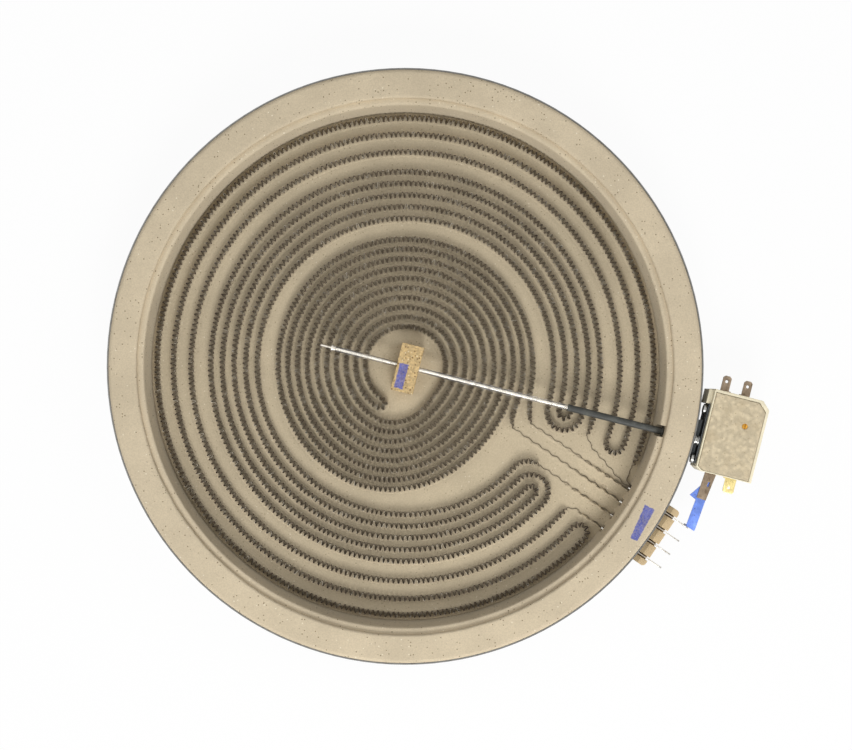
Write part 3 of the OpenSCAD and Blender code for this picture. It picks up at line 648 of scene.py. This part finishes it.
def strip(name, sizes, tracks, seed, bed):
    """The corrugated strip of one heater with its two plain leads."""
    lead_in, heater, lead_out = tracks
    whole = Track(lead_in + heater + lead_out[::-1])
    start = Track(lead_in + heater[:1]).length
    stop = whole.length - Track(lead_out + heater[-1:]).length
    count = round((stop - start) / sizes.pitch)
    along, across = tooth_wave(count, 8, seed)
    rise = np.minimum(1, np.minimum(along, 1 - along) * count / 2)
    s_teeth = start + along * (stop - start)
    y_teeth = across * sizes.tooth * (0.35 + 0.65 * rise)

    def lead_stations(a, b):
        s = np.arange(a, b, sizes.lead_pitch / 8)
        fade = np.clip(np.minimum(s - a, b - s) / (3 * MM), 0, 1)
        return s, fade * 0.45 * MM * np.sin(2 * np.pi * (s - a) / sizes.lead_pitch)

    s_in, y_in = lead_stations(0, start)
    s_out, y_out = lead_stations(0, whole.length - stop)
    s = np.concatenate([s_in, s_teeth, whole.length - s_out[::-1]])
    y = np.concatenate([y_in, y_teeth, y_out[::-1]])
    points = whole.place(s) + whole.side(s) * y[:, None]
    from_lead = np.minimum(np.clip((s - start) / (3 * MM), 0, 1), np.clip((stop - s) / (3 * MM), 0, 1))
    at_wall = np.clip(1 - np.minimum(s, whole.length - s) / (14 * MM), 0, 1)
    low = FLOOR_Z + sizes.lead_rise
    top = low + (RIBBON_HIGH.z - low) * np.maximum(from_lead, at_wall * 0.7)
    dice = np.random.default_rng(seed)
    top = np.minimum(top + dice.normal(0, 0.06 * MM, len(top)), RIBBON_HIGH.z)
    base = RIBBON_LOW.z
    n = len(s)
    obj = from_points(name, [(p[0], p[1], base) for p in points], [(i, i + 1) for i in range(n - 1)])
    edit(obj, (bpy.ops.mesh.extrude_region_move,
               dict(TRANSFORM_OT_translate={"value": (0, 0, RIBBON_HIGH.z - base)})))
    for vertex in obj.data.vertices:
        if vertex.co.z > base + 1e-6:
            vertex.co.z = top[vertex.index - n]
    modifier(obj, "SOLIDIFY", thickness=sizes.thickness, offset=0, use_even_offset=False)
    return obj, whole, s_teeth, along * count


def bed(name, whole, s_teeth, phase, tooth):
    """The pressed insulation beside a strip: two low lips that follow its teeth."""
    keep = slice(None, None, 2)
    s, phase = s_teeth[keep], phase[keep]
    centre, side = whole.place(s), whole.side(s, 2 * MM)
    dice = np.random.default_rng(len(s))
    uneven = 1 + dice.normal(0, 0.1, (7, len(s)))
    wave = np.sin(2 * np.pi * phase)
    out = np.stack([-(tooth + 1.5 * MM) * np.ones(len(s)), -(tooth + 0.75 * MM - wave * 0.2 * MM),
                    -(tooth + 0.1 * MM - wave * 0.45 * MM), 0 * s,
                    tooth + 0.1 * MM + wave * 0.45 * MM, tooth + 0.75 * MM + wave * 0.2 * MM,
                    (tooth + 1.5 * MM) * np.ones(len(s))])
    height = np.stack([-0.12 + 0 * s, 0.14 + 0 * s, 0.34 - 0.14 * wave, 0.04 + 0 * s,
                       0.34 + 0.14 * wave, 0.14 + 0 * s, -0.12 + 0 * s]) * uneven * MM
    verts = [(centre[i, 0] + side[i, 0] * out[k, i], centre[i, 1] + side[i, 1] * out[k, i],
              FLOOR_Z + height[k, i]) for i in range(len(s)) for k in range(7)]
    faces = [(i * 7 + k, i * 7 + 7 + k, i * 7 + 8 + k, i * 7 + 1 + k)
             for i in range(len(s) - 1) for k in range(6)]
    return smooth(from_points(name, verts, faces=faces), 60)


class ELEMENT_OT_dish(bpy.types.Operator):
    """Gives the steel dish its rolled sheet finish"""
    bl_idname = "element.dish"
    bl_label = "Steel dish"

    def execute(self, context):
        finish = metal("Dish steel", rgb(118, 117, 114), 0.42, 0.4, rgb(88, 80, 70))
        for node in ("steel_dish",):
            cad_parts[node].data.materials.clear()
            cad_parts[node].data.materials.append(finish)
        return {"FINISHED"}


class ELEMENT_OT_insulation(bpy.types.Operator):
    """Models the insulation floor with its lead terraces, and the insulating ring"""
    bl_idname = "element.insulation"
    bl_label = "Insulation"

    def execute(self, context):
        colours = context.scene.finish_colours
        floor_finish = insulation("Floor insulation", colours.base, 0.55)
        r = BASE_HIGH.x
        bend = 2.5 * MM
        corner = [(r - bend * (1 - math.sin(t)), BASE_LOW.z + bend * (1 - math.cos(t)))
                  for t in np.radians(range(0, 91, 15))]
        section = [(0, BASE_LOW.z)] + corner + [(r, FLOOR_Z), (0, FLOOR_Z)]
        floor = lathe("insulation_floor", section, 240)
        smooth(floor, 40)
        done(floor, "insulation_floor", floor_finish, "base_insulation", "base_insulation")
        bed_piece = lead_bed()
        done(bed_piece, "lead_bed", floor_finish, "base_insulation")

        ring = ring_body()
        dab = ((130.4 * MM, -86.6 * MM, 0), 63.6, 10.2 * MM, 2.7 * MM, 0.05)
        finish = insulation("Ring insulation", colours.ring, 1.0, dab, colours.paint)
        done(ring, "insulating_ring", finish, "ring_insulation", "ring_insulator")
        return {"FINISHED"}


def lead_bed():
    """Pressed terraces between the leads, higher and rougher towards the wall."""
    p = np.arange(66, 144.01, 0.55)
    q = np.arange(-19, 23.01, 0.5)
    grid_p, grid_q = np.meshgrid(p, q, indexing="ij")
    lines = [(BLADE_Y[0] - 0.6, 79), (BLADE_Y[1] + 0.6, 72), (BLADE_Y[2] + 0.6, 106),
             (BLADE_Y[3] + 0.6, 123)]
    wall = np.clip((grid_p - 98) / 44, 0, 1)
    wall = wall * wall * (3 - 2 * wall)
    dice = random.Random(5)
    height = np.full_like(grid_p, -0.05)
    for y, start in lines:
        wave = (0.5 * np.sin(2 * np.pi * (grid_p - start) / 6.4)
                + 0.35 * np.sin(2 * np.pi * grid_p / 5.1 + dice.uniform(0, 6)))
        below = (y - grid_q) + wave * 0.6
        on = np.clip((grid_p - start) / 8, 0, 1)
        lip = np.exp(-((below - 0.9) / 0.8) ** 2) * (0.35 + 0.85 * wall)
        shelf = np.where(below > 0.5, np.exp(-((below - 0.5) / 4.2) ** 2), 0) * 1.3 * wall
        dip = np.exp(-((below + 1.1) / 1.0) ** 2) * (0.15 + 0.75 * wall)
        height += on * (lip + shelf - dip)
    edge = np.minimum(np.minimum(grid_q + 19, 23 - grid_q) / 3, (grid_p - 66) / 5)
    edge = np.clip(edge, 0, 1)
    height = height * edge - 0.25 * (1 - edge)
    x = grid_p * math.cos(BLOCK_ANGLE) - grid_q * math.sin(BLOCK_ANGLE)
    y = grid_p * math.sin(BLOCK_ANGLE) + grid_q * math.cos(BLOCK_ANGLE)
    verts = np.stack([x * MM, y * MM, FLOOR_Z + height * MM], axis=-1).reshape(-1, 3)
    n = len(q)
    faces = [(i * n + k, i * n + n + k, i * n + n + k + 1, i * n + k + 1)
             for i in range(len(p) - 1) for k in range(n - 1)]
    return smooth(from_points("lead_bed", verts, faces=faces), 60)


def ring_body():
    """The pressed ring: drafted inner wall, ledge, soft lip, flat top and round shoulder."""
    out_r, flat_r, lip_r, ledge_r = RING_R, 161.5 * MM, 149.5 * MM, 148.1 * MM
    wall_r, foot_r, ledge_z = 144.6 * MM, 142.6 * MM, RING_TOP - 2.6 * MM
    shoulder = out_r - flat_r
    lip = 1.4 * MM
    top = [(flat_r + shoulder * math.sin(t), RING_TOP - shoulder * (1 - math.cos(t)))
           for t in np.radians(range(0, 91, 10))]
    inner = [(lip_r - lip * math.sin(t), RING_TOP - lip * (1 - math.cos(t)))
             for t in np.radians(range(0, 91, 15))]
    flat = [(lip_r + (flat_r - lip_r) * k / 6, RING_TOP) for k in range(1, 6)]
    wall = [(foot_r + (wall_r - foot_r) * k / 8, FLOOR_Z + (ledge_z - 0.5 * MM - FLOOR_Z) * k / 8)
            for k in range(9)]
    side = [(out_r, z) for z in np.linspace(DISH_TOP + 0.6 * MM, FLOOR_Z, 4)]
    section = (side[::-1] + top[::-1] + flat[::-1] + inner + [(ledge_r, ledge_z)]
               + [(ledge_r - 1.7 * MM, ledge_z), (wall_r + 0.5 * MM, ledge_z)] + wall[::-1])
    ring = lathe("insulating_ring", section, 720)
    for block in ring_cutters():
        modifier(ring, "BOOLEAN", operation="DIFFERENCE", object=block, solver="EXACT")
        bpy.data.objects.remove(block)
    from mathutils import noise
    for vertex in ring.data.vertices:
        co = vertex.co
        if co.z < FLOOR_Z + 0.5 * MM:
            continue
        spot = co / (4 * MM)
        push = noise.noise(spot) * 0.1 + noise.noise(spot * 0.2) * 0.14
        radial = Vector((co.x, co.y, 0)).normalized()
        near_lip = 1 if abs(co.xy.length - lip_r) < 3 * MM else 0.3
        co += radial * push * near_lip * 1.6 * MM * (co.xy.length < flat_r)
        co.z += min(0, push * 0.6 * MM) if co.z > RING_TOP - 0.3 * MM else 0
    return smooth(ring, 50)


def ring_cutters():
    """Solids that cut the sleeve's notch and the blade slots out of the ring."""
    def box(name, x, y, z, angle):
        deselect()
        bpy.ops.mesh.primitive_cube_add(size=1)
        obj = bpy.context.object
        obj.name = name
        for vertex in obj.data.vertices:
            px = x[0] if vertex.co.x < 0 else x[1]
            py = y[0] if vertex.co.y < 0 else y[1]
            pz = z[0] if vertex.co.z < 0 else z[1]
            vertex.co = (*turned(px * MM, py * MM, angle), pz * MM)
        return obj

    half = 3.2
    notch = box("notch", (130, 148.1), (-half, half), (ROD_Z / MM, 40), ROD_ANGLE)
    deselect()
    bpy.ops.mesh.primitive_cylinder_add(vertices=32, radius=half * MM, depth=18.1 * MM)
    hole = bpy.context.object
    for vertex in hole.data.vertices:
        along = vertex.co.z + 139.05 * MM
        vertex.co = (*turned(along, vertex.co.y, ROD_ANGLE), ROD_Z + vertex.co.x)
    edit(hole, (bpy.ops.mesh.normals_make_consistent, dict(inside=False)))
    slots = [box("slot", (130, 170), (y - 2.2, y + 2.2), (11, 18.3), BLOCK_ANGLE) for y in BLADE_Y]
    return [notch, hole] + slots


class ELEMENT_OT_ribbons(bpy.types.Operator):
    """Models the three corrugated heater strips and the pressed lips beside them"""
    bl_idname = "element.ribbons"
    bl_label = "Heater ribbons"

    def execute(self, context):
        sizes = context.scene.ribbon_sizes
        colours = context.scene.finish_colours
        finish = heater_strip(colours.ribbon)
        bed_finish = bpy.data.materials["Floor insulation"]
        for k, (name, tracks) in enumerate([
                ("outer", outer_track(sizes)), ("middle", middle_track(sizes)),
                ("inner", inner_track(sizes))]):
            piece, whole, s_teeth, phase = strip(name + "_strip", sizes, tracks, 11 + k, True)
            done(piece, name + "_strip", finish, "heater_alloy", name + "_ribbon")
            lips = bed(name + "_bed", whole, s_teeth, phase, sizes.tooth)
            done(lips, name + "_bed", bed_finish, "base_insulation")
        return {"FINISHED"}


class ELEMENT_OT_centre_block(bpy.types.Operator):
    """Models the porous block that carries the rod"""
    bl_idname = "element.centre_block"
    bl_label = "Centre block"

    def execute(self, context):
        colours = context.scene.finish_colours
        activate(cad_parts["centre_block"])
        bpy.ops.object.duplicate()
        block = bpy.context.object
        clear_marks(block)
        edit(block,
             (bpy.ops.mesh.remove_doubles, dict(threshold=0.00001)),
             (bpy.ops.mesh.dissolve_limited, dict(angle_limit=math.radians(2))))
        modifier(block, "REMESH", mode="VOXEL", voxel_size=0.35 * MM)
        from mathutils import noise
        low, high = BLOCK_LOW, BLOCK_HIGH
        for vertex in block.data.vertices:
            spot = vertex.co / (1.1 * MM)
            push = min(0, noise.noise(spot) * 0.35 + noise.noise(spot * 0.4) * 0.3 - 0.08)
            vertex.co += vertex.normal * push * MM
        dab = ((-2.2 * MM, -5.3 * MM, 0), 75.8 - 0, 7.1 * MM, 2.6 * MM, 0.0)
        finish = porous_block(rgb(206, 178, 128), dab, colours.paint)
        done(smooth(block, 40), "porous_block", finish, "vermiculite", "centre_block")
        return {"FINISHED"}


def clear_marks(obj):
    """A copy of a CAD node is a new piece, so it drops the node's parent and marks."""
    world = obj.matrix_world.copy()
    obj.parent = None
    obj.matrix_world = world
    for key in list(obj.keys()):
        del obj[key]


class ELEMENT_OT_rod(bpy.types.Operator):
    """Finishes the quartz tube, its rod and nut, the dark sleeve and its washer"""
    bl_idname = "element.rod"
    bl_label = "Thermostat rod"

    def execute(self, context):
        clear = quartz()
        bright = metal("Rod metal", rgb(214, 208, 196), 0.32, 0.4, rgb(150, 140, 122))
        dark = braided_sleeve()
        for node, name, slot, finish, bevel in (
                ("quartz_tube", "clear_tube", "quartz", clear, 0.15),
                ("expansion_rod", "inner_rod", "rod_metal", bright, 0.1),
                ("rod_tip_nut", "tip_nut", "rod_metal", bright, 0.2),
                ("rod_sleeve", "dark_tube", "dark_sleeve", dark, 0.12),
                ("sleeve_washer", "wall_washer", "dark_sleeve", dark, 0.12)):
            done(dressed_copy(node, bevel * MM), name, finish, slot, node)
        return {"FINISHED"}


class ELEMENT_OT_terminals(bpy.types.Operator):
    """Finishes the terminal block, its four blades and the blue strap"""
    bl_idname = "element.terminals"
    bl_label = "Terminal block"

    def execute(self, context):
        colours = context.scene.finish_colours
        clay = ceramic("Block ceramic", colours.block, 0.62, 0.45, 0.35)
        done(dressed_copy("terminal_block", 0.3 * MM), "tan_block", clay, "tan_ceramic",
             "terminal_block")
        plated = metal("Plated steel", rgb(196, 192, 184), 0.3, 0.4, rgb(120, 104, 80))
        for k in range(1, 5):
            node = "terminal_blade_%d" % k
            done(dressed_copy(node, 0.12 * MM), "blade_%d" % k, plated, "plated_steel", node)
        done(dressed_copy("link_strap", 0.18 * MM), "strap", coated_strap(colours.strap),
             "blue_strap", "link_strap")
        return {"FINISHED"}


class ELEMENT_OT_head(bpy.types.Operator):
    """Finishes the thermostat head, its cover, screw, tabs, bracket and switch parts"""
    bl_idname = "element.head"
    bl_label = "Thermostat head"

    def execute(self, context):
        colours = context.scene.finish_colours
        cream = ceramic("Cream ceramic", colours.housing, 0.42, 0.3, 0.25, 0.5)
        bright = metal("Bright steel", rgb(178, 178, 174), 0.3, 0.5, rgb(110, 104, 92))
        dark = metal("Dark steel", rgb(92, 96, 98), 0.38, 0.5, rgb(60, 56, 50))
        grey = metal("Grey tab", rgb(138, 122, 104), 0.42, 0.5, rgb(96, 80, 62), (1, 0.3, 1))
        yellow = metal("Pale brass tab", rgb(232, 214, 150), 0.32, 0.5, rgb(150, 124, 76), (1, 0.3, 1))
        brass = metal("Brass", rgb(198, 146, 62), 0.34, 0.5, rgb(120, 84, 36))
        spring = metal("Spring metal", rgb(204, 196, 178), 0.3, 0.4)
        for node, name, slot, finish, bevel in (
                ("limiter_housing", "housing", "cream_ceramic", cream, 0.3),
                ("push_lever", "lever", "cream_ceramic", cream, 0.2),
                ("adjusting_screw", "screw", "brass", brass, 0.15),
                ("signal_tab_1", "upper_tab_1", "grey_tab", grey, 0.15),
                ("signal_tab_2", "upper_tab_2", "grey_tab", grey, 0.15),
                ("power_tab_1", "lower_tab_1", "grey_tab", grey, 0.15),
                ("power_tab_2", "lower_tab_2", "brassy_tab", yellow, 0.15),
                ("rod_ferrule", "ferrule", "bright_steel", bright, 0.15),
                ("limiter_bracket", "bracket", "dark_steel", dark, 0.15),
                ("bracket_rivets", "foot_rivets", "bright_steel", bright, 0.4),
                ("head_rivets", "plate_rivets", "bright_steel", bright, 0.4),
                ("power_contact_spring", "power_spring", "spring_metal", spring, 0.1),
                ("signal_contact_spring", "signal_spring", "spring_metal", spring, 0.1)):
            done(dressed_copy(node, bevel * MM), name, finish, slot, node)
        cover = cast_cover()
        done(cover, "cast_cover", rough_cover(colours.cover), "rough_ceramic", "limiter_cover")
        return {"FINISHED"}


def cast_cover():
    """The cover plate, remeshed finely and dented as a coarse casting is."""
    from mathutils import noise
    activate(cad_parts["limiter_cover"])
    bpy.ops.object.duplicate()
    cover = bpy.context.object
    clear_marks(cover)
    edit(cover, (bpy.ops.mesh.remove_doubles, dict(threshold=0.00001)),
         (bpy.ops.mesh.dissolve_limited, dict(angle_limit=math.radians(2))))
    modifier(cover, "REMESH", mode="VOXEL", voxel_size=0.33 * MM)
    for vertex in cover.data.vertices:
        spot = vertex.co / (2.4 * MM)
        dent = min(0, noise.noise(spot) * 0.5 + noise.noise(spot * 2.3) * 0.22 - 0.05)
        if vertex.normal.z > 0.5:
            vertex.co.z += dent * 0.6 * MM
    return smooth(cover, 50)


class ELEMENT_OT_stage(bpy.types.Operator):
    """Sets the camera over the element, soft studio light and a pale floor"""
    bl_idname = "element.stage"
    bl_label = "Stage"

    def execute(self, context):
        scene = context.scene
        scene.view_settings.view_transform = "Standard"
        eye = (11.5 * MM, -4.8 * MM, RING_TOP + 0.9)
        width = 852 * 0.551 * MM
        deselect()
        bpy.ops.object.camera_add(location=eye, rotation=(0, 0, 0))
        camera = bpy.context.object
        camera.name = "camera"
        camera.data.sensor_width = 36
        camera.data.lens = 36 * 0.9 / width
        camera.data.clip_end = 20
        scene.camera = camera

        def lamp(name, at, size, energy, colour=(1, 1, 1)):
            deselect()
            bpy.ops.object.light_add(type="AREA", location=at)
            obj = bpy.context.object
            obj.name = name
            obj.rotation_euler = (Vector((0, 0, 0.02)) - Vector(at)).to_track_quat("-Z", "Y").to_euler()
            obj.data.size = size
            obj.data.energy = energy
            obj.data.color = colour
            return obj

        lamps = [lamp("key", (0.1, -1.15, 0.95), 0.7, 15),
                 lamp("fill", (-0.8, 0.3, 1.3), 1.2, 5),
                 lamp("side", (1.1, 0.2, 1.0), 0.8, 4)]

        world = bpy.data.worlds.new("studio")
        scene.world = world
        world.use_nodes = True
        tree = world.node_tree
        path = tree.nodes.new("ShaderNodeLightPath")
        seen = Value(tree, path.outputs["Is Camera Ray"]) + Value(tree, path.outputs["Is Glossy Ray"]) \
            + Value(tree, path.outputs["Is Transmission Ray"])
        background = tree.nodes["Background"]
        background.inputs["Color"].default_value = (1, 1, 1, 1)
        put(tree, background.inputs["Strength"], seen * 0.65 + 0.35)

        deselect()
        bpy.ops.mesh.primitive_plane_add(size=6, location=(0, 0, -0.0004))
        floor = bpy.context.object
        floor.name = "floor"
        f = Finish("Pale floor", Roughness=0.9)
        ray = f.node("LightPath")
        seen = f.node("LightPath", out=0)
        glow = f.node("Emission", None, {"Color": (1, 1, 1, 1), "Strength": 1.0})
        f.finish(Base_Color=(0.86, 0.86, 0.86, 1))
        blend = f.node("MixShader", None, {0: seen * 0.94})
        f.tree.links.new(f.shader.outputs[0], blend.socket.node.inputs[1])
        f.tree.links.new(glow.socket, blend.socket.node.inputs[2])
        out = next(n for n in f.tree.nodes if n.type == "OUTPUT_MATERIAL")
        f.tree.links.new(blend.socket, out.inputs["Surface"])
        floor.data.materials.append(f.material)
        return {"FINISHED"}


class ELEMENT_PT_panel(bpy.types.Panel):
    """Lists the steps that build the radiant element"""
    bl_label = "Radiant element"
    bl_idname = "ELEMENT_PT_panel"
    bl_space_type = "VIEW_3D"
    bl_region_type = "UI"
    bl_category = "Radiant element"

    def draw(self, context):
        for group in (context.scene.ribbon_sizes, context.scene.finish_colours):
            for key in group.bl_rna.properties.keys():
                if key not in ("rna_type", "name"):
                    self.layout.prop(group, key)
        for step in STEPS:
            self.layout.operator(step.bl_idname)


STEPS = (ELEMENT_OT_dish, ELEMENT_OT_insulation, ELEMENT_OT_ribbons, ELEMENT_OT_centre_block,
         ELEMENT_OT_rod, ELEMENT_OT_terminals, ELEMENT_OT_head, ELEMENT_OT_stage)
CLASSES = (RibbonSizes, FinishColours) + STEPS + (ELEMENT_PT_panel,)


def register():
    for cls in CLASSES:
        bpy.utils.register_class(cls)
    bpy.types.Scene.ribbon_sizes = bpy.props.PointerProperty(type=RibbonSizes)
    bpy.types.Scene.finish_colours = bpy.props.PointerProperty(type=FinishColours)


def unregister():
    del bpy.types.Scene.finish_colours
    del bpy.types.Scene.ribbon_sizes
    for cls in reversed(CLASSES):
        bpy.utils.unregister_class(cls)


def main():
    register()
    for step in STEPS:
        group, name = step.bl_idname.split(".")
        getattr(getattr(bpy.ops, group), name)()


if __name__ == "__main__":
    main()
